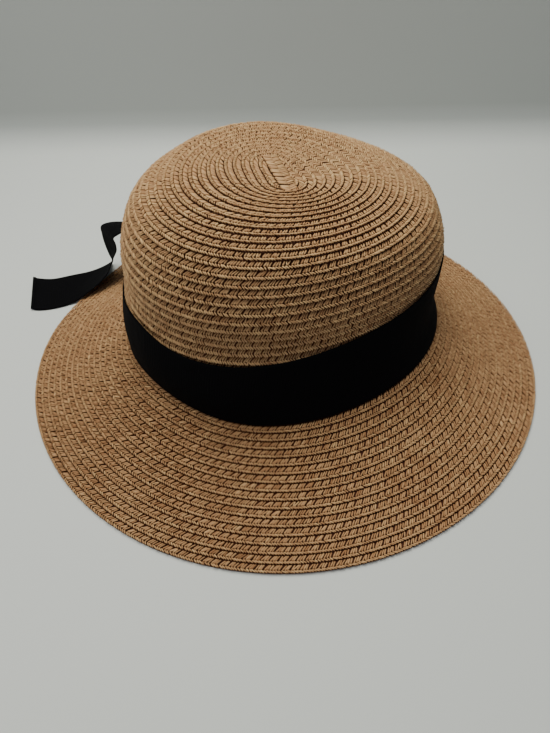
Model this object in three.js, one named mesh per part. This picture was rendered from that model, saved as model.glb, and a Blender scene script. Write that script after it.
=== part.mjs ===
// A wide-brim sun hat of sewn paper-straw braid, with a black ribbon round its crown.
// Millimetres, +Z up. The hat stands on its rim; -Y is its front, +Y its back, where the
// ribbon is tied. Angles go round from +X, counter-clockwise seen from above.
import * as THREE from 'three';

const SIDES = 60;
const STRAW_WALL = 2;
const RIBBON_WALL = 1;
const SEAM_GAP = 0.3;
const RIBBON_GAP = 0.6;

// The crown is lofted through these level sections, from the headline up to the tip.
// radius is the mean radius; oval is added to it at front and back and taken off at the
// sides; aside and back say how far the section's middle sits from the rim's, in X and Y.
const CROWN_SECTIONS = [
  { name: 'headline', height: 20, radius: 93.4, oval: -5.2, aside: 4.7, back: 2.9 },
  { name: 'under_band', height: 38, radius: 88, oval: -6, aside: -0.6, back: 0.9 },
  { name: 'band_top', height: 64.5, radius: 84.5, oval: -7, aside: 2.3, back: 0.4 },
  { name: 'wall', height: 82, radius: 83.5, oval: -6.4, aside: 3.1, back: 0.3 },
  { name: 'high_wall', height: 97.7, radius: 78.8, oval: -5.5, aside: 3.9, back: 1.6 },
  { name: 'shoulder', height: 106.4, radius: 73.2, oval: -4, aside: 4.5, back: 2.6 },
  { name: 'round_over', height: 111.8, radius: 63.3, oval: 0.3, aside: 1.9, back: 4.7 },
  { name: 'top_edge', height: 115, radius: 52.6, oval: 3.7, aside: -0.8, back: 7.2 },
  { name: 'top', height: 115.5, radius: 38.5, oval: 4.2, aside: -1.2, back: 6.4 },
  { name: 'swirl', height: 115.1, radius: 20.3, oval: 2.6, aside: 0, back: 3.2 },
  { name: 'tip', height: 114.8, radius: 0, oval: 0, aside: 2, back: -0.9 },
];
const TIP_LEVEL = CROWN_SECTIONS.length - 1;
const OVAL_TURN = degrees(-2);
const TOP_LEAN = { x: -0.05, y: 0.06 };
const HEADLINE_WAVE = { height: 5.9, angle: degrees(-34) };
const CROWN_STEPS_PER_SECTION = 2;

// Worn places where the headline lies in from its oval by depth, or out where depth is
// negative, over a spread of angles. They fade out up to the level DENT_END.
const HEADLINE_DENTS = [
  { name: 'right', depth: 3.4, angle: degrees(-20), spread: degrees(24) },
  { name: 'front_left', depth: 1.6, angle: degrees(-147), spread: degrees(18) },
  { name: 'left', depth: -2.2, angle: degrees(-178), spread: degrees(12) },
];
const DENT_END = 1.6;

// The brim falls from the headline to the rim, steep at first and flat where it rests.
const RIM_RADIUS = 160;
const RIM_DENT = { depth: 5.5, angle: degrees(138), spread: degrees(16) };
const BRIM_CURVE = 1.45;
const BRIM_STEPS = 8;
const REST_START = 0.94;

// The band's foot sits just above the brim; its upper edge is higher on one side.
const BAND_FOOT_LEVEL = 0.05;
const BAND_TOP = { level: 2, rise: 0.44, angle: degrees(-12) };
const BAND_TOP_DROOP = { level: 0.14, angle: degrees(-90), spread: degrees(52) };
const BAND_TOP_LIFT = { level: 0.14, angle: degrees(-165), spread: degrees(14) };
const BAND_STEPS = 8;

// The knot is a pad as thick as depth, thinner by edge at its two sides, by end at its foot
// and head, and by waist across its middle. foot and head are crown levels.
const KNOT = {
  angle: degrees(90), halfWidth: 15, foot: 0.35, head: 1.75, depth: 9, edge: 0.12, end: 0.55,
  waist: 0.25, steps: 6,
};

// The long free end of the ribbon: it leaves the knot on edge, turns flat, folds down over
// a crease above the rim and runs out on the surface. Each row gives its two selvedges.
// Its root is beside the knot: crown levels, distance from the knot's middle, and depth.
const LONG_TAIL_ROOT = { near: 1.65, far: 0.5, beside: 17.5, offset: 3.4 };
const LONG_TAIL = [
  { name: 'leaving', near: [-22, 87.5, 58], far: [-22, 97, 26] },
  { name: 'turning', near: [-40, 90, 60], far: [-40, 107, 27] },
  { name: 'half_flat', near: [-66, 87, 56], far: [-66, 116, 31] },
  { name: 'flat', near: [-84, 85, 52], far: [-82, 120, 38] },
  { name: 'before_crease', near: [-91, 84, 50], far: [-96, 120, 41] },
  { name: 'crease', near: [-94.6, 85, 47.5], far: [-103, 120, 39.5] },
  { name: 'after_crease', near: [-94.6, 88, 41], far: [-104.4, 122, 32] },
  { name: 'falling', near: [-95.5, 91, 34], far: [-104.8, 124, 22] },
  { name: 'edge_on', near: [-98.6, 93.5, 28], far: [-104.2, 126, 11] },
  { name: 'landing', near: [-101.2, 94, 24], far: [-103.6, 128, 4] },
  { name: 'first_corner_down', near: [-105, 92, 18], far: [-106, 130, 1] },
  { name: 'ramp', near: [-112, 89, 12.5], far: [-115, 125, 0.9] },
  { name: 'over_rim', near: [-122, 86.5, 7.5], far: [-124, 123, 0.7] },
  { name: 'flat_on_ground', near: [-135, 85, 2], far: [-135, 122.7, 0.7] },
  { name: 'run_out', near: [-148, 83.5, 0.8], far: [-151, 122.5, 0.7] },
  { name: 'before_hem', near: [-160, 85, 0.7], far: [-160, 125, 1.5] },
  { name: 'hem', near: [-166, 88, 0.8], far: [-165, 126, 3] },
];
const LONG_TAIL_STEPS = 48;

// The short free end comes out under the knot and lies down the back of the brim. out is
// the share of the way to the rim, lift the height over the brim's face.
const SHORT_TAIL_ROOT = { level: 0.32, offset: 4, halfWidth: 12 };
const SHORT_TAIL = [
  { name: 'leaving', out: 0.1, lift: 4.4, halfWidth: 14 },
  { name: 'touching', out: 0.26, lift: 2.1, halfWidth: 17 },
  { name: 'lying', out: 0.55, lift: 1.3, halfWidth: 18 },
  { name: 'hem', out: 0.82, lift: 1.1, halfWidth: 18 },
];
const SHORT_TAIL_ANGLE = degrees(88);
const SHORT_TAIL_STEPS = 14;

const STRAW = { color: '#a8865a', roughness: 0.85, metalness: 0 };
const RIBBON = { color: '#0d0d10', roughness: 0.7, metalness: 0 };

function degrees(value) {
  return THREE.MathUtils.degToRad(value);
}

function lerp(from, to, share) {
  return THREE.MathUtils.lerp(from, to, share);
}

// Catmull-Rom curve through one column of the section table. Past the tip it is mirrored.
function column(name, level, mirror) {
  const values = CROWN_SECTIONS.map((row) => row[name]);
  const start = Math.min(Math.floor(level), TIP_LEVEL - 1);
  const t = level - start;
  const from = values[start];
  const to = values[start + 1];
  const before = start > 0 ? values[start - 1] : 2 * from - to;
  const after = start + 2 <= TIP_LEVEL ? values[start + 2] : mirror * values[TIP_LEVEL - 1];
  const leave = (to - before) / 2;
  const arrive = (after - from) / 2;
  const cubic = 2 * (from - to) + leave + arrive;
  const square = 3 * (to - from) - 2 * leave - arrive;
  return ((cubic * t + square) * t + leave) * t + from;
}

function headlineWave(angle) {
  return HEADLINE_WAVE.height * Math.cos(2 * (angle - HEADLINE_WAVE.angle));
}

// How far an angle is from the middle of a place, the short way round, in its spreads.
function away(angle, place) {
  const apart = angle - place.angle;
  return Math.atan2(Math.sin(apart), Math.cos(apart)) / place.spread;
}

function headlineDent(level, angle) {
  const fade = Math.max(1 - level / DENT_END, 0) ** 2;
  const depths = HEADLINE_DENTS.map((dent) => dent.depth * Math.exp(-(away(angle, dent) ** 2)));
  return fade * depths.reduce((sum, depth) => sum + depth, 0);
}

// A point on the crown's outer face, by section level and angle.
function crownPoint(level, angle) {
  const height = column('height', level, 1);
  const reach = column('radius', level, -1) - headlineDent(level, angle)
    - column('oval', level, -1) * Math.cos(2 * (angle - OVAL_TURN));
  const foot = CROWN_SECTIONS[0].height;
  const rise = (height - foot) / (CROWN_SECTIONS[TIP_LEVEL].height - foot);
  const x = reach * Math.cos(angle) + column('aside', level, 1);
  const y = reach * Math.sin(angle) + column('back', level, 1);
  const lean = rise * (TOP_LEAN.x * x + TOP_LEAN.y * y);
  return new THREE.Vector3(x, y, height + lean + (1 - rise) * headlineWave(angle));
}

// The same point moved out along the wall's normal; a negative distance moves it in.
function crownOffset(level, angle, distance) {
  const point = crownPoint(level, angle);
  const step = 0.01;
  const below = crownPoint(Math.max(level - step, 0), angle);
  const above = crownPoint(Math.min(level + step, TIP_LEVEL), angle);
  const up = above.sub(below);
  const round = crownPoint(level, angle + step).sub(crownPoint(level, angle - step));
  if (round.length() < 1e-6) {
    return point.add(new THREE.Vector3(0, 0, distance));
  }
  return point.addScaledVector(round.cross(up).normalize(), distance);
}

function rimRadius(angle) {
  const away = (angle - RIM_DENT.angle) / RIM_DENT.spread;
  return RIM_RADIUS - RIM_DENT.depth * Math.exp(-away * away);
}

// A point on the brim's upper face, from the headline (out = 0) to the rim (out = 1).
function brimPoint(angle, out) {
  const inner = crownPoint(0, angle);
  const gap = new THREE.Vector3(Math.cos(angle), Math.sin(angle), 0).multiplyScalar(SEAM_GAP);
  inner.add(gap);
  const rim = rimRadius(angle);
  const x = lerp(inner.x, rim * Math.cos(angle), out);
  const y = lerp(inner.y, rim * Math.sin(angle), out);
  const fall = Math.pow(1 - out, BRIM_CURVE);
  return new THREE.Vector3(x, y, lerp(STRAW_WALL, inner.z, fall));
}

function ring(pointAt) {
  return Array.from({ length: SIDES }, (_, i) => pointAt((2 * Math.PI * i) / SIDES));
}

function steps(count, make) {
  return Array.from({ length: count + 1 }, (_, i) => make(i / count));
}

// Joins neighbouring rings of points with triangles. A ring of one point is a pole.
function skin(rings, looped = false) {
  const positions = [];
  const put = (...points) => points.forEach((point) => positions.push(...point.toArray()));
  const pairs = looped ? rings.length : rings.length - 1;
  for (let i = 0; i < pairs; i += 1) {
    const low = rings[i];
    const high = rings[(i + 1) % rings.length];
    const count = Math.max(low.length, high.length);
    for (let j = 0; j < count; j += 1) {
      const next = j + 1;
      const a = low[j % low.length];
      const b = low[next % low.length];
      const c = high[next % high.length];
      const d = high[j % high.length];
      if (low.length > 1) put(a, b, c);
      if (high.length > 1) put(a, c, d);
    }
  }
  const geometry = new THREE.BufferGeometry();
  geometry.setAttribute('position', new THREE.Float32BufferAttribute(positions, 3));
  geometry.computeVertexNormals();
  return geometry;
}

function middle(points) {
  const sum = new THREE.Vector3();
  points.forEach((point) => sum.add(point));
  return [sum.divideScalar(points.length)];
}

function capped(rings) {
  return [middle(rings[0]), ...rings, middle(rings[rings.length - 1])];
}

function piece(name, geometry, look) {
  const mesh = new THREE.Mesh(geometry, new THREE.MeshStandardMaterial(look));
  mesh.name = name;
  return mesh;
}

// Crown: one hollow shell, open below, with its foot standing inside the brim's hole.
function crown() {
  const levels = steps(TIP_LEVEL * CROWN_STEPS_PER_SECTION, (share) => share * TIP_LEVEL);
  levels.pop();
  const drop = new THREE.Vector3(0, 0, -STRAW_WALL);
  const outer = levels.map((level) => ring((angle) => crownPoint(level, angle)));
  const inner = levels.map((level) => ring((angle) => crownOffset(level, angle, -STRAW_WALL)));
  const outerFoot = outer[0].map((point) => point.clone().add(drop));
  const innerFoot = inner[0].map((point) => point.clone().setZ(point.z - STRAW_WALL));
  const innerPole = [crownOffset(TIP_LEVEL, 0, -STRAW_WALL)];
  const outerPole = [crownPoint(TIP_LEVEL, 0)];
  return piece('crown', skin([
    innerPole, ...inner.reverse(), innerFoot, outerFoot, ...outer, outerPole,
  ]), STRAW);
}

// Brim: a ring of the same wall, whose underside ends in a flat ring that it rests on.
function brim() {
  const shares = steps(BRIM_STEPS, (share) => share);
  shares.splice(-1, 0, REST_START);
  const upper = shares.map((out) => ring((angle) => brimPoint(angle, out)));
  const lower = shares.map((out) => ring((angle) => {
    const point = brimPoint(angle, out);
    return point.setZ(out < REST_START ? point.z - STRAW_WALL : 0);
  }));
  return piece('brim', skin([...lower, ...upper.reverse()], true), STRAW);
}

// Ribbon band: a thin wall that follows the crown from just above the brim.
function bandTop(angle) {
  return BAND_TOP.level + BAND_TOP.rise * Math.cos(angle - BAND_TOP.angle)
    - BAND_TOP_DROOP.level * Math.exp(-(away(angle, BAND_TOP_DROOP) ** 4))
    + BAND_TOP_LIFT.level * Math.exp(-(away(angle, BAND_TOP_LIFT) ** 2));
}

function ribbonBand() {
  const face = (distance) => steps(BAND_STEPS, (share) => ring((angle) => {
    const level = lerp(BAND_FOOT_LEVEL, bandTop(angle), share);
    return crownOffset(level, angle, distance);
  }));
  const inner = face(RIBBON_GAP);
  const outer = face(RIBBON_GAP + RIBBON_WALL);
  return piece('ribbon_band', skin([...inner.reverse(), ...outer], true), RIBBON);
}

// Knot: a rounded pad across the band at the back.
function ribbonKnot() {
  const inside = RIBBON_GAP + RIBBON_WALL + SEAM_GAP;
  const halfAngle = KNOT.halfWidth / CROWN_SECTIONS[1].radius;
  const sections = steps(KNOT.steps, (up) => {
    const level = lerp(KNOT.foot, KNOT.head, up);
    const back = steps(KNOT.steps, (across) => {
      const angle = KNOT.angle + lerp(halfAngle, -halfAngle, across);
      return crownOffset(level, angle, inside);
    });
    const middleness = Math.sin(Math.PI * up);
    const depth = KNOT.depth * lerp(1 - KNOT.end, 1, middleness) * (1 - KNOT.waist * middleness);
    const front = steps(KNOT.steps, (across) => {
      const angle = KNOT.angle + lerp(-halfAngle, halfAngle, across);
      const bulge = Math.sin(Math.PI * lerp(KNOT.edge, 1 - KNOT.edge, across));
      return crownOffset(level, angle, inside + depth * bulge);
    });
    return [...back, ...front];
  });
  return piece('ribbon_knot', skin(capped(sections)), RIBBON);
}

// A flat ribbon between two selvedge curves, as thick as the ribbon's wall.
function ribbonBetween(nearEdge, farEdge, count) {
  return skin(capped(steps(count, (share) => {
    const near = nearEdge.getPoint(share);
    const far = farEdge.getPoint(share);
    const along = nearEdge.getTangent(share).add(farEdge.getTangent(share));
    const across = far.clone().sub(near);
    const half = across.cross(along).normalize().multiplyScalar(RIBBON_WALL / 2);
    return [
      near.clone().add(half), far.clone().add(half),
      far.clone().sub(half), near.clone().sub(half),
    ];
  })));
}

function longTail() {
  const edge = (side) => {
    const angle = KNOT.angle + LONG_TAIL_ROOT.beside / CROWN_SECTIONS[1].radius;
    const root = crownOffset(LONG_TAIL_ROOT[side], angle, LONG_TAIL_ROOT.offset);
    const rest = LONG_TAIL.map((row) => new THREE.Vector3(...row[side]));
    return new THREE.CatmullRomCurve3([root, ...rest], false, 'centripetal');
  };
  return piece('ribbon_tail', ribbonBetween(edge('near'), edge('far'), LONG_TAIL_STEPS), RIBBON);
}

function shortTail() {
  const edge = (side) => {
    const aside = (side * SHORT_TAIL_ROOT.halfWidth) / CROWN_SECTIONS[1].radius;
    const root = crownOffset(SHORT_TAIL_ROOT.level, KNOT.angle + aside, SHORT_TAIL_ROOT.offset);
    const rest = SHORT_TAIL.map((row) => {
      const middleLine = brimPoint(SHORT_TAIL_ANGLE, row.out);
      const turn = (side * row.halfWidth) / Math.hypot(middleLine.x, middleLine.y);
      const point = brimPoint(SHORT_TAIL_ANGLE + turn, row.out);
      return point.setZ(point.z + row.lift);
    });
    return new THREE.CatmullRomCurve3([root, ...rest], false, 'centripetal');
  };
  return piece('ribbon_tail_short', ribbonBetween(edge(1), edge(-1), SHORT_TAIL_STEPS), RIBBON);
}

// The origin is the middle of the whole hat's box, on the surface that it stands on.
const hat = new THREE.Group();
hat.add(crown(), brim(), ribbonBand(), ribbonKnot(), longTail(), shortTail());
const box = new THREE.Box3().setFromObject(hat);
const centre = box.getCenter(new THREE.Vector3());
hat.position.set(-centre.x, -centre.y, -box.min.z);

export default hat;
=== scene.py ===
"""A wide-brim sun hat of sewn paper-straw braid with a black grosgrain ribbon.

The hat stands on its rim. It is made here as a hatter would make it: the braid is sewn
in a spiral over the crown's form and then over the brim's, and the ribbon goes on last.
"""
import math

import bmesh
import bpy
import numpy as np
from mathutils import Matrix, Vector


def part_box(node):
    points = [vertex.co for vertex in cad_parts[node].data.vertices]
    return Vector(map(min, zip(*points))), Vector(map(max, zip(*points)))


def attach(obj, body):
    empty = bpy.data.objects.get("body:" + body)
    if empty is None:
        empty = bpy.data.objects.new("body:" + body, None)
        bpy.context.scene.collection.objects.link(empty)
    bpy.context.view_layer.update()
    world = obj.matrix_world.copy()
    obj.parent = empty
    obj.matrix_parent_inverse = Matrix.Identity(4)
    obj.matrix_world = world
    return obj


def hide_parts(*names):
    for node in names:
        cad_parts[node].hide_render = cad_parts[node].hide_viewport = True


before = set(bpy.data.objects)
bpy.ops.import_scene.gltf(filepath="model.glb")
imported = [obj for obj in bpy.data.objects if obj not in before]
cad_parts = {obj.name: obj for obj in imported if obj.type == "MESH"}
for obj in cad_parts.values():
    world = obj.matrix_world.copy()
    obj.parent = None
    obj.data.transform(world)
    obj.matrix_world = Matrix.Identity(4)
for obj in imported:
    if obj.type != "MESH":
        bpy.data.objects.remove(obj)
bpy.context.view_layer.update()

# --- Crown --------------------------------------------------------------------------
# A hollow, rounded crown of flat paper-straw braid, sewn round and round from a short
# straight length at the tip, each row's outer edge over the next, and pressed to an oval
# form that wear has left a little lopsided.

# The form: millimetres from the rim's middle, +Z up, -Y the front, and angles
# counter-clockwise from +X. A level counts the rows of the table up from the headline.
MM = 0.001
CROWN_SECTIONS = np.array([
    # height, mean radius, oval, aside, back
    (20.0, 93.4, -5.2, 4.7, 2.9),      # headline
    (38.0, 88.0, -6.0, -0.6, 0.9),     # under the band
    (64.5, 84.5, -7.0, 2.3, 0.4),      # band's top
    (82.0, 83.5, -6.4, 3.1, 0.3),      # wall
    (97.7, 78.8, -5.5, 3.9, 1.6),      # high wall
    (106.4, 73.2, -4.0, 4.5, 2.6),     # shoulder
    (111.8, 63.3, 0.3, 1.9, 4.7),      # round over
    (115.0, 52.6, 3.7, -0.8, 7.2),     # top's edge
    (115.5, 38.5, 4.2, -1.2, 6.4),     # top
    (115.1, 20.3, 2.6, 0.0, 3.2),      # round the swirl
    (114.8, 0.0, 0.0, 2.0, -0.9),      # tip
])
TIP_LEVEL = len(CROWN_SECTIONS) - 1
OVAL_TURN = math.radians(-2)
TOP_LEAN = (-0.05, 0.06)
HEADLINE_WAVE = (5.9, math.radians(-34))
HEADLINE_DENTS = (    # depth, angle, spread
    (3.4, math.radians(-20), math.radians(24)),
    (1.6, math.radians(-147), math.radians(18)),
    (-2.2, math.radians(-178), math.radians(12)),
)
DENT_END = 1.6

brim_low, brim_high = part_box("brim")
RIM_MIDDLE = (brim_low + brim_high) / 2


def placed(points):
    """Millimetres from the rim's middle to metres in the row frame."""
    return np.asarray(points) * MM + np.array((RIM_MIDDLE.x, RIM_MIDDLE.y, 0.0))


def section_values(level):
    """Catmull-Rom curves through the columns of the section table."""
    level = np.clip(level, 0, TIP_LEVEL)
    start = np.minimum(np.floor(level).astype(int), TIP_LEVEL - 1)
    t = (level - start)[..., None]
    below = 2 * CROWN_SECTIONS[0] - CROWN_SECTIONS[1]
    past_tip = CROWN_SECTIONS[TIP_LEVEL - 1] * (1, -1, -1, 1, 1)
    rows = np.vstack([below, CROWN_SECTIONS, past_tip])
    before, here, there, after = (rows[start + i] for i in range(4))
    leave, arrive = (there - before) / 2, (after - here) / 2
    cubic = 2 * (here - there) + leave + arrive
    square = 3 * (there - here) - 2 * leave - arrive
    return ((cubic * t + square) * t + leave) * t + here


def away(angle, middle, spread):
    """How far an angle is from the middle of a place, the short way round, in its spreads."""
    return (np.mod(angle - middle + math.pi, 2 * math.pi) - math.pi) / spread


def crown_form(level, angle):
    height, radius, oval, aside, back = np.moveaxis(section_values(level), -1, 0)
    dent = sum(depth * np.exp(-away(angle, middle, spread) ** 2)
               for depth, middle, spread in HEADLINE_DENTS)
    reach = (radius - oval * np.cos(2 * (angle - OVAL_TURN))
             - dent * np.clip(1 - level / DENT_END, 0, 1) ** 2)
    rise = (height - CROWN_SECTIONS[0, 0]) / (CROWN_SECTIONS[-1, 0] - CROWN_SECTIONS[0, 0])
    x = reach * np.cos(angle) + aside
    y = reach * np.sin(angle) + back
    wave = HEADLINE_WAVE[0] * np.cos(2 * (angle - HEADLINE_WAVE[1]))
    z = height + rise * (TOP_LEAN[0] * x + TOP_LEAN[1] * y) + (1 - rise) * wave
    return np.stack([x, y, z], -1)


class Form:
    """A form to sew on, read by the share of the way along it and the angle. Its shape is a
    function of a mark, which runs from first to last, and the angle."""

    COLUMNS, ROWS = 360, 400
    NORMAL_STEP = 0.004

    def __init__(self, shape, first, last):
        self.shape = shape
        angles = np.linspace(0, 2 * math.pi, self.COLUMNS + 1)
        marks = np.linspace(first, last, self.ROWS + 1)
        points = shape(marks[:, None] + 0 * angles, angles + 0 * marks[:, None])
        steps = np.linalg.norm(np.diff(points, axis=0), axis=-1)
        run = np.vstack([np.zeros(self.COLUMNS + 1), np.cumsum(steps, 0)])
        shares = np.linspace(0, 1, self.ROWS + 1)
        self.marks = np.stack(
            [np.interp(shares, run[:, i] / run[-1, i], marks) for i in range(self.COLUMNS + 1)], 1)

    def mark(self, share, angle):
        column = np.mod(angle, 2 * math.pi) / (2 * math.pi) * self.COLUMNS
        row = np.clip(share, 0, 1) * self.ROWS
        i = np.minimum(row.astype(int), self.ROWS - 1)
        j = np.minimum(column.astype(int), self.COLUMNS - 1)
        u, w = row - i, column - j
        m = self.marks
        return ((m[i, j] * (1 - w) + m[i, j + 1] * w) * (1 - u)
                + (m[i + 1, j] * (1 - w) + m[i + 1, j + 1] * w) * u)

    def point(self, share, angle, height):
        """A point on the form at a share of the way and angle, raised along its normal."""
        step = self.NORMAL_STEP
        low = np.clip(share - step, 0, 1)
        high = np.clip(share + step, 0, 1)
        here = self.shape(self.mark(share, angle), angle)
        along = self.shape(self.mark(high, angle), angle) - self.shape(self.mark(low, angle), angle)
        turned = (self.shape(self.mark(share, angle + step), angle + step)
                  - self.shape(self.mark(share, angle - step), angle - step))
        normal = np.cross(along, turned)
        size = np.linalg.norm(normal, axis=-1, keepdims=True)
        normal = np.where(size > 1e-9, normal / np.maximum(size, 1e-9), (0, 0, 1))
        return here + normal * np.asarray(height)[..., None]


crown_shape = Form(crown_form, TIP_LEVEL, 0.0)

# The braid: a flat plait of strands of twisted paper yarns, about six millimetres wide, of
# which about five show in a row. Above, a strand's yarns slant one way past the row's
# middle, and below it the other way out to the edge. The rows are parted by lines, and both
# are counted in turns from the tip: at n turns the braid lies between lines n - 1 and n.
CROWN_ROWS = 34.25
STRAND_PITCH = 4.15
YARNS_PER_STRAND = 3
ROW_WIDTH = 4.5
STEPS_PER_TURN = 360
# The lines round the straight first length are squarish, stretched to the front and back,
# a little skewed, and further out at the right. Each of these eases off towards the wall.
SIDE_LINES = {"share": 0.068, "line": 1.25, "step": 0.0283}
FRONT_LINES = {"reach": 0.92, "stretch": 0.56, "from": 1.5, "ease": 1.7}
BACK_LINES = {"reach": 1.0, "stretch": 0.95, "from": 1.0, "ease": 2.6}
SQUARE_EASE = 3
SWIRL_SKEW = {"size": 0.08, "line": 4, "spread": 4}
RIGHT_SHIFT = ((0.25, 4.25, 8.25, 18), (-0.015, 0, 0.018, 0))    # lines, shares
EVEN_FROM = 18
SEED = 7
rng = np.random.default_rng(SEED)


def angle_of(turns):
    """The braid starts at the back and runs clockwise as seen from above."""
    return math.pi / 2 - 2 * math.pi * turns


def side_share(line):
    return SIDE_LINES["share"] + SIDE_LINES["step"] * (line - SIDE_LINES["line"])


def end_reach(end, line):
    """How much further than at the sides a line lies at the front or the back."""
    turns = np.maximum(line, 0.0) - end["from"]
    return end["reach"] + end["stretch"] * np.exp(-turns / end["ease"])


def crown_share(line, angle):
    """How far from tip to headline a row line lies: near the tip the rows wrap the straight
    first length of braid, and further out they even out round the crown."""
    in_front = np.sin(angle) < 0
    end = np.where(in_front, end_reach(FRONT_LINES, line), end_reach(BACK_LINES, line))
    power = 2 + np.exp(-np.maximum(line, 0.0) / SQUARE_EASE)
    oval = (np.abs(np.cos(angle)) ** power + np.abs(np.sin(angle) / end) ** power) ** (-1 / power)
    skew = 1 + (SWIRL_SKEW["size"] * np.sin(2 * angle + math.pi)
                * np.exp(-((line - SWIRL_SKEW["line"]) / SWIRL_SKEW["spread"]) ** 2))
    right = np.clip(np.cos(angle), 0, 1) ** 2 * np.interp(line, *RIGHT_SHIFT)
    share = side_share(line) * oval * skew + right
    reach = np.where(in_front, FRONT_LINES["reach"], BACK_LINES["reach"])
    at_headline = side_share(CROWN_ROWS) * (
        np.cos(angle) ** 2 + (np.sin(angle) / reach) ** 2) ** -0.5
    settled = np.clip((line - EVEN_FROM) / (CROWN_ROWS - EVEN_FROM), 0, 1) ** 2
    return share + (1 - at_headline) * settled


def crown_braid(turns, across, height):
    angle = angle_of(turns)
    return crown_shape.point(crown_share(turns - 1 + across, angle), angle, height)


def spiral(braid, first, last):
    """Turns and lengths in millimetres along the middle of the braid."""
    turns = np.linspace(first, last, int((last - first) * STEPS_PER_TURN) + 1)
    path = braid(turns, np.full_like(turns, 0.5), np.zeros_like(turns))
    return turns, np.concatenate([[0], np.cumsum(np.linalg.norm(np.diff(path, axis=0), axis=-1))])


def yarn_shape():
    """One visible length of yarn: a five-sided spindle along +Z, from 0 to 1."""
    bm = bmesh.new()
    bmesh.ops.create_cone(bm, cap_ends=True, cap_tris=True, segments=5, radius1=1, radius2=1,
                          depth=1)
    bmesh.ops.translate(bm, verts=bm.verts, vec=(0, 0, 0.5))
    bmesh.ops.triangulate(bm, faces=bm.faces)
    bm.verts.index_update()
    points = np.array([v.co[:] for v in bm.verts])
    faces = np.array([[v.index for v in f.verts] for f in bm.faces])
    bm.free()
    return points, faces


YARN_POINTS, YARN_FACES = yarn_shape()
# A leg is the yarns of one slant. It tells how a yarn lies at its start, its two rings and
# its end: across is its place in the row, slip how many millimetres it has gone along the
# row, and height how many it is over the form. fan draws a strand's yarns together at their
# start. The painted_shade_ values paint shade into the colour where shade falls: the height
# under which a yarn is painted darker, how dark the gap beside its strand is painted, and
# how dark its own edge is painted.
YARN_STATIONS = (0, 0.25, 0.75, 1)
UPPER_LEG = {"across": (-0.02, 0.12, 0.55, 0.75), "slip": (-1.25, -0.88, 0.55, 1.05),
             "height": (-1.6, -0.75, -0.42, -0.90), "half_width": 0.47, "half_depth": 0.52,
             "pitch": 1.31, "fan": 0.23, "tone": -0.02,
             "painted_shade_below": -0.68, "painted_shade_gap": 0.6, "painted_shade_edge": 0}
LOWER_LEG = {"across": (0.58, 0.69, 0.93, 1.00), "slip": (1.2, 0.78, -0.70, -1.08),
             "height": (-1.05, -0.50, 0.0, -0.50), "half_width": 0.41, "half_depth": 0.50,
             "pitch": 1.36, "fan": 0, "tone": 0.09,
             "painted_shade_below": -1.1, "painted_shade_gap": 0, "painted_shade_edge": 0.3}
# How uneven the plaiting is: the spreads of the strands' shades and places, and then of the
# yarns'. Shifts and raises are in millimetres, the others are shares.
STRAND_SPREAD = {"shade": 0.055, "shift": 0.08}
YARN_SPREAD = {"width": 0.12, "lean": 0.20, "raise": 0.09, "shift": 0.09, "shade": 0.10}
OUTER_YARN_DROP = 0.05
SINK_FROM, DEEPEST = -0.42, -1.9
# Painted shade: a yarn's colour is darkened at its foot, between it and the next, and where
# it goes under, where shade falls.
GROOVE_PAINTED_SHADE = {"darkness": 0.72, "reach": 1.8, "curve": 0.8}
UNDER_PAINTED_SHADE, GAP_FADE = 0.8, 1.3
STRAW_TONE = 0.53


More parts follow.
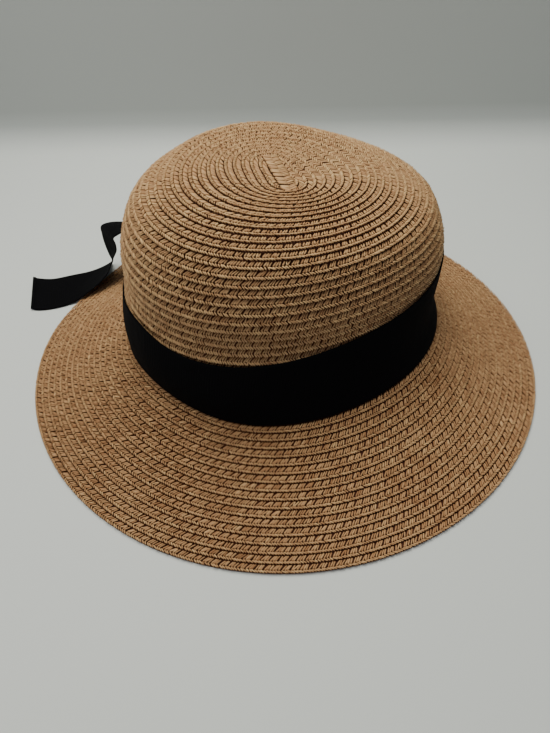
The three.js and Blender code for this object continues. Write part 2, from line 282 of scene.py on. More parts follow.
def yarns(braid, turns, run, leg, keep=None, sink=((0,), (1,)), lap=((0,), (0,)),
          tone=STRAW_TONE):
    """Every yarn of one leg of the plait, as points, faces, tints and depths, a depth being how
    far the colour is painted to shade. sink and lap are tables by turns: how many times deeper
    the row's inner ends go under the row before, and how many millimetres a row leans in at
    its inner edge."""
    count = int(run[-1] / STRAND_PITCH)
    strand = (np.arange(count) + 0.5) * STRAND_PITCH
    place = np.arange(YARNS_PER_STRAND) - (YARNS_PER_STRAND - 1) / 2
    middles = (strand[:, None] + place * leg["pitch"]).ravel()
    place = np.tile(place, count)
    shade = np.repeat(STRAND_SPREAD["shade"] * rng.standard_normal(count), YARNS_PER_STRAND)
    shift = np.repeat(STRAND_SPREAD["shift"] * rng.standard_normal(count), YARNS_PER_STRAND)
    start = np.interp(middles + shift, run, turns)
    if keep is not None:
        chosen = keep(start)
        start, place, shade = start[chosen], place[chosen], shade[chosen]
    speed = np.interp(start, (turns[1:] + turns[:-1]) / 2, np.diff(run) / np.diff(turns))
    n = len(start)

    # The spindle's points, on the line that the leg describes.
    side, lift, along = YARN_POINTS[:, 1], YARN_POINTS[:, 0], YARN_POINTS[:, 2]
    ends = (np.abs(side) + np.abs(lift)) < 1e-6
    along = np.where(ends, along, np.where(along < 0.5, YARN_STATIONS[1], YARN_STATIONS[2]))
    across, slip, height = (np.interp(along, YARN_STATIONS, leg[key]) + 0 * start[:, None]
                            for key in ("across", "slip", "height"))
    slip = slip - leg["fan"] * place[:, None] * (1 - along)

    # Their width goes square to the yarn's own slope.
    width = leg["half_width"] * (1 + YARN_SPREAD["width"] * rng.standard_normal(n))
    lean = 1 + YARN_SPREAD["lean"] * rng.standard_normal(n)
    raised = YARN_SPREAD["raise"] * rng.standard_normal(n) - OUTER_YARN_DROP * np.abs(place)
    shift = YARN_SPREAD["shift"] * rng.standard_normal(n)
    slip_run = leg["slip"][2] - leg["slip"][1]
    across_run = (leg["across"][2] - leg["across"][1]) * ROW_WIDTH
    length = math.hypot(slip_run, across_run)
    slip = slip * lean[:, None] + shift[:, None] + side * width[:, None] * across_run / length
    across = across - side * width[:, None] * slip_run / length / ROW_WIDTH

    # Then they go down under the row before, and up and down round the yarn.
    sunk = SINK_FROM + (height - SINK_FROM) * np.interp(start, *sink)[:, None]
    height = np.where(height < SINK_FROM, sunk, height)
    height = height - np.interp(start, *lap)[:, None] * (1 - across)
    height = np.maximum(height, DEEPEST)
    height = height + raised[:, None] + lift * leg["half_depth"]
    points = braid(start[:, None] + slip / speed[:, None], across, height)
    faces = YARN_FACES + (np.arange(n) * len(YARN_POINTS))[:, None, None]

    shade = shade + YARN_SPREAD["shade"] * rng.standard_normal(n)
    tint = np.clip(tone + leg["tone"] + shade, 0, 1)
    # The depth is painted shade: at each yarn's foot, under the row before, in the gap beside its
    # strand and along its edge.
    groove = ((1 - lift) / GROOVE_PAINTED_SHADE["reach"]) ** GROOVE_PAINTED_SHADE["curve"] * GROOVE_PAINTED_SHADE["darkness"]
    under = np.clip(leg["painted_shade_below"] - height, 0, 1) * UNDER_PAINTED_SHADE
    gap = leg["painted_shade_gap"] * np.clip(side * place[:, None], 0, 1) * (1 - along) ** GAP_FADE
    edge = leg["painted_shade_edge"] * np.clip(side, 0, 1)
    depth = np.clip(groove + under + gap + edge, 0, 1)
    return (points.reshape(-1, 3), faces.reshape(-1, 3), np.repeat(tint, len(YARN_POINTS)),
            depth.ravel())


def joined(name, points, faces, tint=None, depth=None):
    """A piece from points in millimetres, with its tints and its depths, how far each point is
    painted to shade, as attributes.
    """
    mesh = bpy.data.meshes.new(name)
    mesh.vertices.add(len(points))
    mesh.vertices.foreach_set("co", placed(points).ravel())
    sizes = faces.shape[1]
    mesh.loops.add(faces.size)
    mesh.loops.foreach_set("vertex_index", faces.ravel())
    mesh.polygons.add(len(faces))
    mesh.polygons.foreach_set("loop_start", np.arange(0, faces.size, sizes))
    mesh.update(calc_edges=True)
    mesh.validate()
    mesh.shade_smooth()
    for key, values in (("tint", tint), ("depth", depth)):
        if values is not None:
            mesh.attributes.new(key, "FLOAT", "POINT").data.foreach_set("value", values)
    piece = bpy.data.objects.new(name, mesh)
    bpy.context.scene.collection.objects.link(piece)
    return piece


def linear(hex_colour):
    values = [int(hex_colour[i:i + 2], 16) / 255 for i in (1, 3, 5)]
    return [v / 12.92 if v <= 0.04045 else ((v + 0.055) / 1.055) ** 2.4 for v in values] + [1.0]


def node(tree, kind, settings=None, **links):
    """Adds a node with its settings, and sets or links its sockets: a name's underscores
    stand for spaces, and _0 is the first socket."""
    made = tree.nodes.new(kind)
    for key, value in (settings or {}).items():
        setattr(made, key, value)
    for key, value in links.items():
        socket = made.inputs[int(key[1:])] if key[1:].isdigit() else made.inputs[
            key.replace("_", " ")]
        if isinstance(value, bpy.types.NodeSocket):
            tree.links.new(value, socket)
        else:
            socket.default_value = value
    return made


def blank_material(name):
    material = bpy.data.materials.new(name)
    material.use_nodes = True
    tree = material.node_tree
    tree.nodes.clear()
    shader = node(tree, "ShaderNodeBsdfPrincipled")
    output = node(tree, "ShaderNodeOutputMaterial")
    tree.links.new(shader.outputs["BSDF"], output.inputs["Surface"])
    return material, tree, shader


STRAW_DARK, STRAW_MIDDLE, STRAW_LIGHT = "#a87a52", "#cba174", "#ebc58f"
# The colour painted into the braid as shade, in its grooves, gaps and joints.
STRAW_PAINTED_SHADE = "#4a2516"
STRAW_PATCHES, STRAW_FIBRES = 24.0, 1600.0    # to a metre: 42 mm and 0.6 mm


def painted_shade_by_depth(tree, colour):
    """The straw's colour, going to a painted shade as the depth attribute goes from 0 to 1."""
    depth = node(tree, "ShaderNodeAttribute", {"attribute_name": "depth"})
    mix = node(tree, "ShaderNodeMix", {"data_type": "RGBA"}, Factor=depth.outputs["Fac"],
               _6=colour, _7=linear(STRAW_PAINTED_SHADE))
    return depth.outputs["Fac"], mix.outputs[2]


def straw_material():
    """Twisted paper yarn, kraft brown, glazed a little by pressing: matt, with a dull
    sheen on the yarns' tops, each yarn its own shade, and fine fibre along it. The shade
    drifts from patch to patch, and the fibre is drawn coarser than real. The depth attribute
    turns the colour to a painted shade in the grooves and gaps and under the rows' edges."""
    material, tree, shader = blank_material("twisted_paper_straw")
    tint = node(tree, "ShaderNodeAttribute", {"attribute_name": "tint"})
    place = node(tree, "ShaderNodeTexCoord")
    patch = node(tree, "ShaderNodeTexNoise", Vector=place.outputs["Object"],
                 Scale=STRAW_PATCHES, Detail=3.0)
    fibre = node(tree, "ShaderNodeTexNoise", Vector=place.outputs["Object"],
                 Scale=STRAW_FIBRES, Detail=2.0)
    shade = node(tree, "ShaderNodeMath", {"operation": "MULTIPLY_ADD"},
                 _0=patch.outputs["Fac"], _1=0.3, _2=-0.15)
    mixed = node(tree, "ShaderNodeMath", {"operation": "ADD", "use_clamp": True},
                 _0=tint.outputs["Fac"], _1=shade.outputs["Value"])
    colour = node(tree, "ShaderNodeValToRGB", Fac=mixed.outputs["Value"])
    ramp = colour.color_ramp
    ramp.elements[0].position, ramp.elements[0].color = 0.1, linear(STRAW_DARK)
    ramp.elements[1].position, ramp.elements[1].color = 0.9, linear(STRAW_LIGHT)
    ramp.elements.new(0.5).color = linear(STRAW_MIDDLE)
    depth, shaded = painted_shade_by_depth(tree, colour.outputs["Color"])
    tree.links.new(shaded, shader.inputs["Base Color"])
    bump = node(tree, "ShaderNodeBump", Height=fibre.outputs["Fac"], Strength=0.35,
                Distance=0.0002)
    tree.links.new(bump.outputs["Normal"], shader.inputs["Normal"])
    shader.inputs["Roughness"].default_value = 0.62
    gloss = node(tree, "ShaderNodeMath", {"operation": "MULTIPLY_ADD", "use_clamp": True},
                 _0=depth, _1=-0.4, _2=0.3)
    tree.links.new(gloss.outputs["Value"], shader.inputs["Specular IOR Level"])
    return material


STRAW = straw_material()


def dress(piece, material):
    piece.data.materials.clear()
    piece.data.materials.append(material)
    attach(piece, "root")
    return piece


def lay(names, legs, braid, turns, run, **how):
    """Both legs of a stretch of braid, each as a piece."""
    for name, leg in zip(names, legs):
        dress(joined(name, *yarns(braid, turns, run, leg, **how)), STRAW)


# The ribbon hides the crown's lowest rows, so the braid stops a little under its upper edge.
BAND_TOP = {"level": 2.0, "rise": 0.44, "angle": math.radians(-12)}
BAND_TOP_DROOP = (0.14, math.radians(-90), math.radians(52))     # levels, angle, spread
BAND_TOP_LIFT = (0.14, math.radians(-165), math.radians(14))
HIDDEN_LEVELS = 0.4
CROWN_LAID = (-0.25, 30.0)
CROWN_SINK = ((0, 5, 9, 13, 18, 30), (0.8, 1.0, 1.7, 1.95, 1.75, 1.7))    # turns, times
CROWN_LAP = ((11, 17, 22, 27), (0, 0.35, 0.65, 1.25))    # turns, millimetres


def band_top(angle):
    """The crown level of the ribbon's upper edge."""
    return (BAND_TOP["level"] + BAND_TOP["rise"] * np.cos(angle - BAND_TOP["angle"])
            - BAND_TOP_DROOP[0] * np.exp(-away(angle, *BAND_TOP_DROOP[1:]) ** 4)
            + BAND_TOP_LIFT[0] * np.exp(-away(angle, *BAND_TOP_LIFT[1:]) ** 2))


def above_band(turns):
    angle = angle_of(turns)
    level = crown_shape.mark(crown_share(turns - 0.5, angle), angle)
    return level > band_top(angle) - HIDDEN_LEVELS


lay(("crown_braid_upper", "crown_braid_lower"), (UPPER_LEG, LOWER_LEG), crown_braid,
    *spiral(crown_braid, *CROWN_LAID), keep=above_band, sink=CROWN_SINK, lap=CROWN_LAP)

# The braid's straight first length lies on top at the tip, so both its edges show; its
# ends go under the first turn.
STRIP = {"middle": 1.6, "from": 21.5, "to": -16.5, "width": 8.8, "lift": 0.9}
STRIP_TUCK = {"start": 2, "end": 3, "fall": 0.25}
TOP_LEVELS, SETTLING_ROUNDS = 3, 16
STRIP_LEG = {"half_width": 0.53, "half_depth": 0.50, "pitch": 1.28, "fan": 0.2, "tone": 0,
             "painted_shade_below": -0.45, "painted_shade_gap": 0.4, "painted_shade_edge": 0}
LEFT_LEG = {**STRIP_LEG, "across": (-0.02, 0.07, 0.46, 0.60), "slip": (-1.3, -0.8, 0.6, 1.0),
            "height": (-1.3, -0.45, -0.40, -0.7)}
RIGHT_LEG = {**STRIP_LEG, "across": (0.44, 0.58, 0.93, 1.02), "slip": (1.3, 0.8, -0.6, -1.0),
             "height": (-0.7, -0.40, -0.65, -1.5)}


def crown_over(x, y, height):
    """A point on the top of the crown, found from its place in plan. The oval and its middle
    change with the level, so it is looked up again until it settles."""
    levels = np.linspace(TIP_LEVEL, TIP_LEVEL - TOP_LEVELS, 300)
    radii = section_values(levels)[:, 1]
    level = np.full_like(x, TIP_LEVEL - 1.0)
    for _ in range(SETTLING_ROUNDS):
        oval, aside, back = np.moveaxis(section_values(level), -1, 0)[2:]
        angle = np.arctan2(y - back, x - aside)
        reach = np.hypot(x - aside, y - back) + oval * np.cos(2 * (angle - OVAL_TURN))
        level = np.interp(reach, radii, levels)
    return crown_form(level, angle) + np.stack([0 * height, 0 * height, height], -1)


def strip_braid(along, across, height):
    total = STRIP["from"] - STRIP["to"]
    tucked = np.maximum(STRIP_TUCK["start"] - along, along - (total - STRIP_TUCK["end"]))
    return crown_over(STRIP["middle"] + (across - 0.5) * STRIP["width"], STRIP["from"] - along,
                      height + STRIP["lift"] - STRIP_TUCK["fall"] * np.maximum(tucked, 0) ** 2)


strip_run = np.linspace(0, STRIP["from"] - STRIP["to"], 400)
lay(("tip_strip_left", "tip_strip_right"), (LEFT_LEG, RIGHT_LEG), strip_braid,
    strip_run, strip_run)

# The ground under the yarns: painted dark as shade between them outside, and the rows'
# reverse inside.
YARN_PITCH = 1.38
STROKE_LEAN = 15.0
SHELL_SIDES = 180
SHELL_LINES = (-1.15, 700)    # the first line, and how many are looked up
ROW_ROUNDNESS = 0.8
# How far the outside fill and the lead ring are painted to shade.
OUTSIDE_PAINTED_SHADE, LEAD_PAINTED_SHADE = 1, 0.4


def reverse_material():
    """The braid's reverse inside the hat: the same yarns pressed flat by the stitching, in
    shallow V strokes along each row. Its colour follows their relief as painted shade, darker
    in the strokes' hollows and in a line where one row goes under the next."""
    material, tree, shader = blank_material("twisted_paper_straw_reverse")
    braid = node(tree, "ShaderNodeUVMap", {"uv_map": "braid"})
    axes = node(tree, "ShaderNodeSeparateXYZ", Vector=braid.outputs["UV"])

    def sum_of(value, factor, plus):
        return node(tree, "ShaderNodeMath", {"operation": "MULTIPLY_ADD"}, _0=value, _1=factor,
                    _2=plus).outputs["Value"]

    beside = node(tree, "ShaderNodeMath", {"operation": "ABSOLUTE"},
                  _0=sum_of(axes.outputs["Y"], 1.0, -0.5)).outputs["Value"]
    along = sum_of(axes.outputs["X"], 2 * math.pi / YARN_PITCH, 0.0)
    stroke = node(tree, "ShaderNodeMath", {"operation": "SINE"},
                  _0=sum_of(beside, STROKE_LEAN, along)).outputs["Value"]
    joint = node(tree, "ShaderNodeMapRange", {"interpolation_type": "SMOOTHSTEP"},
                 Value=beside, From_Min=0.36, From_Max=0.5).outputs["Result"]
    relief = sum_of(joint, -3.0, stroke)
    # Painted shade: the colour darkens with the relief, in the hollows and at each joint.
    colour = node(tree, "ShaderNodeValToRGB", Fac=sum_of(relief, 0.13, 0.42))
    ramp = colour.color_ramp
    ramp.elements[0].position, ramp.elements[0].color = 0.0, linear(STRAW_PAINTED_SHADE)
    ramp.elements[1].position, ramp.elements[1].color = 0.6, linear(STRAW_MIDDLE)
    shaded = painted_shade_by_depth(tree, colour.outputs["Color"])[1]
    tree.links.new(shaded, shader.inputs["Base Color"])
    bump = node(tree, "ShaderNodeBump", Height=relief, Strength=0.5, Distance=0.0003)
    tree.links.new(bump.outputs["Normal"], shader.inputs["Normal"])
    shader.inputs["Roughness"].default_value = 0.7
    shader.inputs["Specular IOR Level"].default_value = 0.2
    return material


REVERSE = reverse_material()


def lofted(name, rings, depth, looped):
    """Rings of equal numbers of points bridged into one skin of quads, a depth of painted shade
    for each ring. A looped skin goes on from its last ring to its first."""
    rows, columns = rings.shape[:2]
    index = np.arange(rows * columns).reshape(rows, columns)
    low, high = (index, np.roll(index, -1, 0)) if looped else (index[:-1], index[1:])
    faces = np.stack([low, np.roll(low, -1, 1), np.roll(high, -1, 1), high], -1).reshape(-1, 4)
    return joined(name, rings.reshape(-1, 3), faces, depth=np.repeat(depth, columns))


def braid_shell(name, form, share_of, phase, rows, length, heights, counts, last, lead=None):
    """The ground under the yarns: a fill outside, painted dark as the shade between the yarns,
    and the braid's reverse inside, whose rows stand out a little. phase gives the line that the
    braid has reached at a share of a turn, rows is the last line, and length the turns and
    lengths along the braid. heights are the fill's, the joints' and the rows' middles', and
    counts the rings inside and outside. last is the share of the way that it ends at, and lead
    makes a ring of points that closes its start, painted part way to shade."""
    turned = np.arange(SHELL_SIDES) / SHELL_SIDES
    angle = angle_of(turned)
    first_line, steps = SHELL_LINES
    lines = np.linspace(first_line, rows, steps)
    table = share_of(lines[:, None], angle[None])
    shares = np.linspace(0, last, counts[0])
    line = np.stack([np.interp(shares, table[:, i], lines) for i in range(SHELL_SIDES)], 1)
    across = np.mod(line + 1 - phase(turned), 1)
    fill, joint, middle = heights
    relief = joint + (middle - joint) * np.sin(math.pi * across) ** ROW_ROUNDNESS
    inside = form.point(shares[:, None] + 0 * angle, angle + 0 * shares[:, None], relief)
    back = np.linspace(last, 0, counts[1])
    outside = form.point(back[:, None] + 0 * angle, angle + 0 * back[:, None],
                         fill + 0 * back[:, None] + 0 * angle)
    rings = [inside, outside] + ([] if lead is None else [lead(angle)[None]])
    depth = [0.0] * counts[0] + [OUTSIDE_PAINTED_SHADE] * counts[1] + [LEAD_PAINTED_SHADE] * len(rings[2:])
    piece = lofted(name, np.concatenate(rings), depth, lead is not None)

    # Each inside face reads its place in the braid from the row that its middle lies in.
    ahead = np.append(turned[1:], 1.0)
    low, high = line[:-1], line[1:]
    row = np.floor((low + high + np.roll(low, -1, 1) + np.roll(high, -1, 1)) / 4 + 1
                   - (phase(turned) + phase(ahead - 1e-9)) / 2)
    corners = ((low, turned), (np.roll(low, -1, 1), ahead), (np.roll(high, -1, 1), ahead),
               (high, turned))
    inner = np.stack([np.stack([np.interp(row + at, *length),
                                value + 1 - row - phase(at - 1e-9 * (at > 0.5))], -1)
                      for value, at in corners], 2)
    place = np.zeros((len(piece.data.polygons), 4, 2))
    place[:len(inner) * SHELL_SIDES] = inner.reshape(-1, 4, 2)
    piece.data.uv_layers.new(name="braid").data.foreach_set("uv", place.ravel())
    bm = bmesh.new()
    bm.from_mesh(piece.data)
    bmesh.ops.remove_doubles(bm, verts=bm.verts, dist=1e-6)
    bm.to_mesh(piece.data)
    bm.free()
    return dress(piece, REVERSE)


crown_base = braid_shell(
    "crown_base", crown_shape, crown_share, phase=lambda turned: turned, rows=CROWN_ROWS + 1,
    length=spiral(crown_braid, 0.0, CROWN_ROWS + 1), heights=(-1.8, -2.4, -2.7),
    counts=(175, 60), last=1.0)
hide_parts("crown")

# --- Brim ---------------------------------------------------------------------------
# The same braid carried on from the headline over a wide form that falls to a round rim,
# a little dented at one place. Its end narrows away into the rim at the back.
RIM_RADIUS = 160.0
RIM_DENT = (5.5, math.radians(138), math.radians(16))    # depth, angle, spread
BRIM_CURVE = 1.45
STRAW_WALL = 2.0
BRIM_ROWS = 17
STEP_FROM = 0.9
ROW_BUNCH = {"all_round": 0.03, "front": 0.065, "spread": math.radians(30)}
END_WIDTH = 0.15
BRIM_LAID = (0.75, BRIM_ROWS + 0.975)
BRIM_SINK = ((0,), (0.88,))
# The brim's straw is painted darker than the crown's: painted shade, standing in for less light on
# the brim.
BRIM_TONE_PAINTED_DARKER = 0.38
LEAD_HEIGHTS, LEAD_PLACE = (-1.95, -1.6), 0.18


def rim_radius(angle):
    depth, middle, spread = RIM_DENT
    return RIM_RADIUS - depth * np.exp(-away(angle, middle, spread) ** 2)


def brim_form(out, angle):
    """The brim from out 0 at the headline to 1 at the rim: ruled, and curved in its fall."""
    inner = crown_form(np.zeros_like(out + angle), angle)
    rim = rim_radius(angle)
    x = inner[..., 0] + (rim * np.cos(angle) - inner[..., 0]) * out
    y = inner[..., 1] + (rim * np.sin(angle) - inner[..., 1]) * out
    fall = np.clip(1 - out, 0, 1) ** BRIM_CURVE
    return np.stack([x, y, STRAW_WALL + (inner[..., 2] - STRAW_WALL) * fall], -1)


brim_shape = Form(brim_form, 0.0, 1.0)


def brim_line(turns):
    """Each row keeps its distance from the rim but for a short step outwards at the back."""
    whole = np.floor(turns)
    step = np.clip((turns - whole - STEP_FROM) / (1 - STEP_FROM), 0, 1)
    return whole + step * step * (3 - 2 * step)


def brim_share(line, angle):
    """How far from headline to rim a row line lies: the rows lie a little closer near the
    rim, most of all at the front."""
    left = 1 - np.clip(line, 0, BRIM_ROWS) / BRIM_ROWS
    front = np.exp(-away(angle, -math.pi / 2, ROW_BUNCH["spread"]) ** 2)
    bunch = ROW_BUNCH["all_round"] + ROW_BUNCH["front"] * front
    return 1 - left * (1 - bunch + bunch * left)


def brim_braid(turns, across, height):
    """The last row narrows away at the rim, where the braid's end is tucked under."""
    angle = angle_of(turns)
    inner = brim_line(turns) - 1
    line = inner + across * np.clip(BRIM_ROWS - inner, END_WIDTH, 1)
    return brim_shape.point(brim_share(line, angle), angle, height)


lay(("brim_braid_upper", "brim_braid_lower"), (UPPER_LEG, LOWER_LEG), brim_braid,
    *spiral(brim_braid, *BRIM_LAID), sink=BRIM_SINK, tone=BRIM_TONE_PAINTED_DARKER)


def brim_lead(angle):
    """The brim's first row turns up to the crown's last, a hair's breadth away."""
    crown_end, brim_start = (
        form.point(np.full_like(angle, share), angle, np.full_like(angle, height))
        for form, share, height in zip((crown_shape, brim_shape), (1.0, 0.0), LEAD_HEIGHTS))
    return (1 - LEAD_PLACE) * crown_end + LEAD_PLACE * brim_start


brim_base = braid_shell(
    "brim_base", brim_shape, brim_share, phase=brim_line, rows=BRIM_ROWS,
    length=spiral(brim_braid, 0.0, BRIM_ROWS + 1), heights=(-1.5, -1.72, -1.97),
    counts=(90, 30), last=0.995, lead=brim_lead)
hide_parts("brim")

# --- Ribbon band --------------------------------------------------------------------
# Black grosgrain, woven with ribs across its length, drawn round the foot of the crown and
# tied at the back. Its edges hold it tighter than its middle, so it eases into slight waves.
BAND_FOOT_LEVEL = 0.05
RIBBON_GAP, RIBBON_WALL = 0.6, 0.5
RIB_PITCH = 1.5
RIBBON_CREASES = 55.0    # to a metre: 18 mm
BAND_EASE = 0.25
BAND_WAVES = ((0.7, 5, 1.0), (0.5, 11, 0.0))    # size, waves round the crown, phase


def ribbon_material():
    """Black grosgrain: matt, with a faint bluish sheen where it turns from the eye, and soft
    creases. Its ribs are drawn at 1.5 mm, coarser than real, so that they still read."""
    material, tree, shader = blank_material("black_grosgrain_ribbon")
    run = node(tree, "ShaderNodeAttribute", {"attribute_name": "run"})
    phase = node(tree, "ShaderNodeMath", {"operation": "MULTIPLY"},
                 _0=run.outputs["Fac"], _1=2 * math.pi / RIB_PITCH)
    rib = node(tree, "ShaderNodeMath", {"operation": "SINE"}, _0=phase.outputs["Value"])
    place = node(tree, "ShaderNodeTexCoord")
    crease = node(tree, "ShaderNodeTexNoise", Vector=place.outputs["Object"],
                  Scale=RIBBON_CREASES, Detail=2.0)
    soft = node(tree, "ShaderNodeBump", Height=crease.outputs["Fac"], Strength=0.3,
                Distance=0.004)
    ribbed = node(tree, "ShaderNodeBump", Height=rib.outputs["Value"], Strength=0.2,
                  Distance=0.0003, Normal=soft.outputs["Normal"])
    tree.links.new(ribbed.outputs["Normal"], shader.inputs["Normal"])
    shader.inputs["Base Color"].default_value = linear("#0e0e10")
    shader.inputs["Roughness"].default_value = 0.85
    shader.inputs["Specular IOR Level"].default_value = 0.01
    shader.inputs["Sheen Weight"].default_value = 0.01
    shader.inputs["Sheen Roughness"].default_value = 0.5
    return material


RIBBON = ribbon_material()


def crown_at_level(level, angle, height):
    """A point on the crown's form by section level and angle, moved out by height."""
    level, angle, height = np.broadcast_arrays(level, angle, np.asarray(height, float))
    step = 0.01
    up = crown_form(level + step, angle) - crown_form(level - step, angle)
    turned = crown_form(level, angle + step) - crown_form(level, angle - step)
    normal = np.cross(turned, up)
    normal /= np.linalg.norm(normal, axis=-1, keepdims=True)
    return crown_form(level, angle) + normal * height[..., None]


def ribbon_piece(name, rows, round_about=False):
    """A sheet through rows of points, thickened to the ribbon's wall. The rows follow each
    other along the ribbon, and its attribute run counts the millimetres."""
    n, m = rows.shape[:2]
    index = np.arange(n * m).reshape(n, m)
    low, high = (index, np.roll(index, -1, 0)) if round_about else (index[:-1], index[1:])
    faces = np.stack([low[:, :-1], low[:, 1:], high[:, 1:], high[:, :-1]], -1).reshape(-1, 4)
    steps = np.linalg.norm(np.diff(rows, axis=0), axis=-1).mean(1)
    run = np.repeat(np.concatenate([[0], np.cumsum(steps)]), m)
    piece = joined(name, rows.reshape(-1, 3), faces)
    piece.data.attributes.new("run", "FLOAT", "POINT").data.foreach_set("value", run)
    wall = piece.modifiers.new("wall", "SOLIDIFY")
    wall.thickness = RIBBON_WALL * MM
    wall.offset = 0
    wall.use_even_offset = True
    return dress(piece, RIBBON)


def ring_angles(count):
    return np.linspace(0, 2 * math.pi, count, endpoint=False)


band_angles = ring_angles(480)
band_share = np.linspace(0, 1, 25)
band_level = BAND_FOOT_LEVEL + (band_top(band_angles)[:, None] - BAND_FOOT_LEVEL) * band_share
waves = 1 + sum(size * np.sin(count * band_angles + phase) for size, count, phase in BAND_WAVES)
eased = BAND_EASE * np.sin(math.pi * band_share) * waves[:, None]
band = ribbon_piece("ribbon_band_cloth", crown_at_level(
    band_level, band_angles[:, None], RIBBON_GAP + RIBBON_WALL / 2 + eased), round_about=True)
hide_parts("ribbon_band")

# --- Ribbon knot --------------------------------------------------------------------
# The ribbon's own end wrapped once over the band at the back: a flattened loop with soft
# pleats, pinched at its waist, open at its two sides where the free ends come out.
KNOT = {"angle": math.radians(90), "half_width": 14.5, "foot": 0.37, "head": 1.73,
        "inside": 1.35, "depth": 6.0, "pleat": 0.9, "pleats": 3.5, "pinch": 0.16,
        "fullness": 0.6, "side_fall": 0.35, "middle_fall": 0.25}
BAND_RADIUS = CROWN_SECTIONS[1, 1]
knot_round = ring_angles(72)
knot_aside = np.linspace(-1, 1, 45)
knot_up = (1 - np.cos(knot_round)) / 2
knot_middle = np.sin(knot_up * math.pi)
pleats = KNOT["pleat"] * np.cos(knot_aside * math.pi * KNOT["pleats"]) * knot_middle[:, None]
outward = np.clip(np.sin(knot_round), 0, 1) ** KNOT["fullness"]
outward = outward * (1 - KNOT["middle_fall"] * knot_middle)
sides = 1 - KNOT["side_fall"] * np.abs(knot_aside) ** 4
knot_height = KNOT["inside"] + (KNOT["depth"] * sides + pleats) * outward[:, None]
knot_level = KNOT["foot"] + (KNOT["head"] - KNOT["foot"]) * knot_up
waist = KNOT["half_width"] * (1 - KNOT["pinch"] * knot_middle ** 2)
knot_angle = KNOT["angle"] + knot_aside * waist[:, None] / BAND_RADIUS
knot = ribbon_piece("ribbon_knot_cloth", crown_at_level(
    knot_level[:, None], knot_angle, knot_height), round_about=True)
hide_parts("ribbon_knot")

# --- Ribbon tails -------------------------------------------------------------------
# The ribbon's two free ends. The long one leaves the knot on edge, turns flat, folds down
# over a crease behind the rim and runs out on the table to its folded hem, and the short
# one lies on the brim. A row of the long one gives its near and its far selvedge.
LONG_TAIL_ROOT = {"near": 1.65, "far": 0.5, "beside": 17.5, "offset": 3.4}
LONG_TAIL = [
    ((-22, 87.5, 58), (-22, 97, 26)),            # leaving
    ((-40, 90, 60), (-40, 107, 27)),             # turning
    ((-66, 87, 56), (-66, 116, 31)),             # half flat
    ((-84, 85, 52), (-82, 120, 38)),             # flat
    ((-91, 84, 50), (-96, 120, 41)),             # before the crease
    ((-94.6, 85, 47.5), (-103, 120, 39.5)),      # crease
    ((-94.6, 88, 41), (-104.4, 122, 32)),        # after the crease
    ((-95.5, 91, 34), (-104.8, 124, 22)),        # falling
    ((-98.6, 93.5, 28), (-104.2, 126, 11)),      # edge on
    ((-101.2, 94, 24), (-103.6, 128, 4)),        # landing
    ((-105, 92, 18), (-106, 130, 1)),            # first corner down
    ((-112, 89, 12.5), (-115, 125, 0.9)),        # ramp
    ((-122, 86.5, 7.5), (-124, 123, 0.7)),       # over the rim
    ((-135, 85, 2), (-135, 122.7, 0.7)),         # flat on the table
    ((-148, 83.5, 0.8), (-151, 122.5, 0.7)),     # running out
    ((-160, 85, 0.7), (-160, 125, 1.5)),         # before the hem
    ((-166, 88, 0.8), (-165, 126, 3)),           # hem
]
LONG_TAIL_SWELL = {"size": 0.8, "waves": 9, "ends_at": 0.8, "fade": 5}
SHORT_TAIL_ROOT = {"level": 0.32, "offset": 4, "half_width": 12}
SHORT_TAIL = [    # out along the brim, height over it, half width
    (0.1, 4.4, 14),
    (0.26, 2.1, 17),
    (0.55, 1.3, 18),
    (0.82, 1.1, 18),
]
SHORT_TAIL_ANGLE = math.radians(88)
SHORT_TAIL_SWELL = 0.9
TAIL_COLUMNS = 17
HEM_HEIGHT, HEM_ROWS = 0.6, 4


def edge_curve(points, shares):
    """A centripetal Catmull-Rom curve through points, read at equal shares per span."""
    points = np.asarray(points, float)
    points = np.vstack([2 * points[0] - points[1], points, 2 * points[-1] - points[-2]])
    spans = len(points) - 3
    i = np.minimum((shares * spans).astype(int), spans - 1)
    t = (shares * spans - i)[:, None]
    a, b, c, d = (points[i + k] for k in range(4))
    ab, bc, cd = (np.linalg.norm(v - u, axis=-1, keepdims=True) ** 0.5
                  for u, v in ((a, b), (b, c), (c, d)))
    leave = ((b - a) / ab - (c - a) / (ab + bc) + (c - b) / bc) * bc
    arrive = ((c - b) / bc - (d - b) / (bc + cd) + (d - c) / cd) * bc
    cubic = 2 * (b - c) + leave + arrive
    square = 3 * (c - b) - 2 * leave - arrive
    return ((cubic * t + square) * t + leave) * t + b


def ribbon_between(name, near, far, count, swell, hem=0):
    """The ribbon between two selvedges, its middle eased off the straight by swell mm. Its
    last rows, as many as hem says, are folded over, so that they stand out."""
    shares = np.linspace(0, 1, count)
    near, far = edge_curve(near, shares), edge_curve(far, shares)
    across = np.linspace(0, 1, TAIL_COLUMNS)[None, :, None]
    rows = near[:, None] + (far - near)[:, None] * across
    along = np.gradient(rows, axis=0)
    face = np.cross(np.gradient(rows, axis=1), along)
    face /= np.linalg.norm(face, axis=-1, keepdims=True)
    folded = HEM_HEIGHT * (np.arange(count) >= count - hem)[:, None, None]
    rows = rows + face * (swell(shares)[:, None, None] * np.sin(math.pi * across) + folded)
    return ribbon_piece(name, rows)


def tail_root(level, beside, offset):
    """A point in the knot's open side, beside its middle."""
    return crown_at_level(level, KNOT["angle"] + beside / BAND_RADIUS, offset)


def long_tail_swell(share):
    """Slight waves that die away before the hem."""
    fade = np.clip((LONG_TAIL_SWELL["ends_at"] - share) * LONG_TAIL_SWELL["fade"], 0, 1)
    return LONG_TAIL_SWELL["size"] * np.sin(share * LONG_TAIL_SWELL["waves"]) * fade


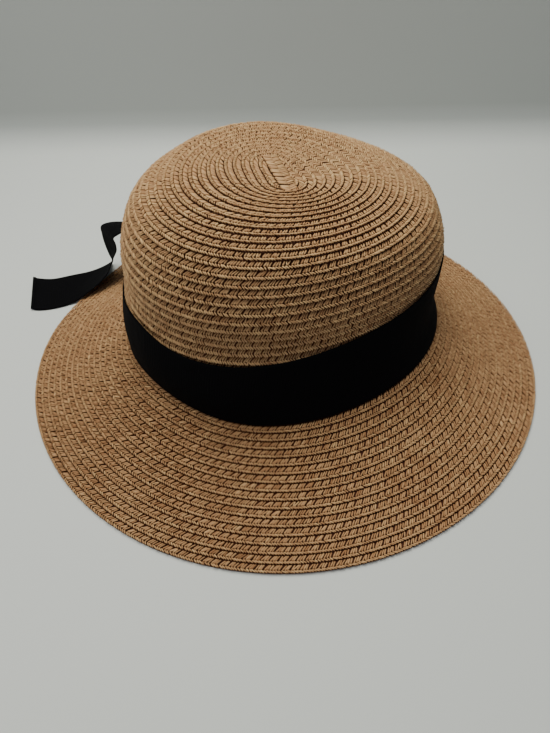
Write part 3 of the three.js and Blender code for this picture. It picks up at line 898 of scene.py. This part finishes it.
near_edge, far_edge = (
    [tail_root(LONG_TAIL_ROOT[side], LONG_TAIL_ROOT["beside"], LONG_TAIL_ROOT["offset"])]
    + [row[i] for row in LONG_TAIL] for i, side in enumerate(("near", "far")))
tail = ribbon_between("ribbon_tail_cloth", near_edge, far_edge, 145, long_tail_swell, HEM_ROWS)
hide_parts("ribbon_tail")


def short_tail_edge(side):
    """One selvedge of the short end, from the knot out along the brim."""
    edge = [tail_root(SHORT_TAIL_ROOT["level"], side * SHORT_TAIL_ROOT["half_width"],
                      SHORT_TAIL_ROOT["offset"])]
    for out, lift, half in SHORT_TAIL:
        reach = np.hypot(*brim_form(np.array(out), np.array(SHORT_TAIL_ANGLE))[:2])
        angle = np.array(SHORT_TAIL_ANGLE + side * half / reach)
        edge.append(brim_form(np.array(out), angle) + (0, 0, lift))
    return edge


short_tail = ribbon_between("ribbon_tail_short_cloth", short_tail_edge(1), short_tail_edge(-1),
                            57, lambda share: SHORT_TAIL_SWELL * share * (1 - share))
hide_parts("ribbon_tail_short")

# --- Floor, light and camera --------------------------------------------------------
# A sheet of pale matt board that lies as the table and is bent up behind as a low wall.
# One wide soft light hangs overhead, a dim one fills from the front left, and the camera
# looks down on the hat from the front.
FLOOR_NEAR, FLOOR_END, FLOOR_SIDE = -1.2, 0.295, 1.5
COVE_RADIUS, WALL_TOP = 0.026, 0.17
COVE_STEPS = np.radians(range(5, 91, 5))
SWEEP_TURN = math.radians(-18.5)
WALL_RISEN = 0.04
LIGHTS = {    # place, aim, size, watts, colour
    "overhead": ((-0.08, 0.12, 0.76), (0, 0, 0), (0.7, 0.55), 7.5, (1, 0.98, 0.87)),
    "fill": ((-0.8, -0.9, 0.65), (0, 0, 0.05), (0.8, 0.6), 1.35, (1, 0.9, 1.06)),
}
ROOM_COLOUR, ROOM_STRENGTH = (0.8, 0.85, 0.9, 1), 0.18
CAMERA_PLACE = (-70.73, -242.62, 232.49)
CAMERA_TURN, CAMERA_DIP, CAMERA_ROLL = (math.radians(a) for a in (15, 45.77, -2.40))
CAMERA_LENS, CAMERA_SENSOR = 24.8, 36


def sweep_material():
    """Painted board, matt and pale, a little greyer where it stands up as the wall, which is
    painted shade for the lesser light there.
    """
    material, tree, shader = blank_material("pale_matt_board")
    place = node(tree, "ShaderNodeTexCoord")
    axes = node(tree, "ShaderNodeSeparateXYZ", Vector=place.outputs["Object"])
    # Painted shade: the board's colour greys upwards into the wall.
    risen = node(tree, "ShaderNodeMapRange", Value=axes.outputs["Z"], From_Max=WALL_RISEN)
    tone = node(tree, "ShaderNodeMix", {"data_type": "RGBA"}, Factor=risen.outputs["Result"],
                _6=linear("#d7dcdb"), _7=linear("#adb1af"))
    tree.links.new(tone.outputs[2], shader.inputs["Base Color"])
    shader.inputs["Roughness"].default_value = 0.8
    return material


profile = [(FLOOR_NEAR, 0.0), (FLOOR_END, 0.0)]
profile += [(FLOOR_END + COVE_RADIUS * math.sin(a), COVE_RADIUS * (1 - math.cos(a)))
            for a in COVE_STEPS]
profile += [(FLOOR_END + COVE_RADIUS, WALL_TOP)]
bm = bmesh.new()
verts = [bm.verts.new((-FLOOR_SIDE, y, z)) for y, z in profile]
profile_edges = [bm.edges.new(pair) for pair in zip(verts[:-1], verts[1:])]
moved = bmesh.ops.extrude_edge_only(bm, edges=profile_edges)["geom"]
bmesh.ops.translate(bm, verts=[g for g in moved if isinstance(g, bmesh.types.BMVert)],
                    vec=(2 * FLOOR_SIDE, 0, 0))
bmesh.ops.rotate(bm, verts=bm.verts, matrix=Matrix.Rotation(SWEEP_TURN, 3, "Z"))
bmesh.ops.recalc_face_normals(bm, faces=bm.faces)
sweep_mesh = bpy.data.meshes.new("sweep")
bm.to_mesh(sweep_mesh)
bm.free()
sweep_mesh.shade_smooth()
sweep = bpy.data.objects.new("sweep", sweep_mesh)
bpy.context.scene.collection.objects.link(sweep)
sweep.data.materials.append(sweep_material())

for light_name, (place, aim, size, watts, colour) in LIGHTS.items():
    data = bpy.data.lights.new(light_name, "AREA")
    data.shape = "RECTANGLE"
    data.size, data.size_y = size
    data.energy = watts
    data.color = colour
    light = bpy.data.objects.new(light_name, data)
    light.location = place
    light.rotation_euler = (Vector(aim) - Vector(place)).to_track_quat("-Z", "Y").to_euler()
    bpy.context.scene.collection.objects.link(light)

world = bpy.data.worlds.new("room")
world.use_nodes = True
background = world.node_tree.nodes["Background"]
background.inputs["Color"].default_value = ROOM_COLOUR
background.inputs["Strength"].default_value = ROOM_STRENGTH
bpy.context.scene.world = world

camera_data = bpy.data.cameras.new("camera")
camera_data.sensor_width = CAMERA_SENSOR
camera_data.sensor_fit = "AUTO"
camera_data.lens = CAMERA_LENS
camera_data.clip_start = 0.01
camera = bpy.data.objects.new("camera", camera_data)
bpy.context.scene.collection.objects.link(camera)
turn = Matrix.Rotation(-CAMERA_TURN, 4, "Z")
dip = Matrix.Rotation(math.radians(90) - CAMERA_DIP, 4, "X")
roll = Matrix.Rotation(CAMERA_ROLL, 4, "Z")
camera.matrix_world = Matrix.Translation(Vector(placed(CAMERA_PLACE))) @ turn @ dip @ roll
bpy.context.scene.camera = camera
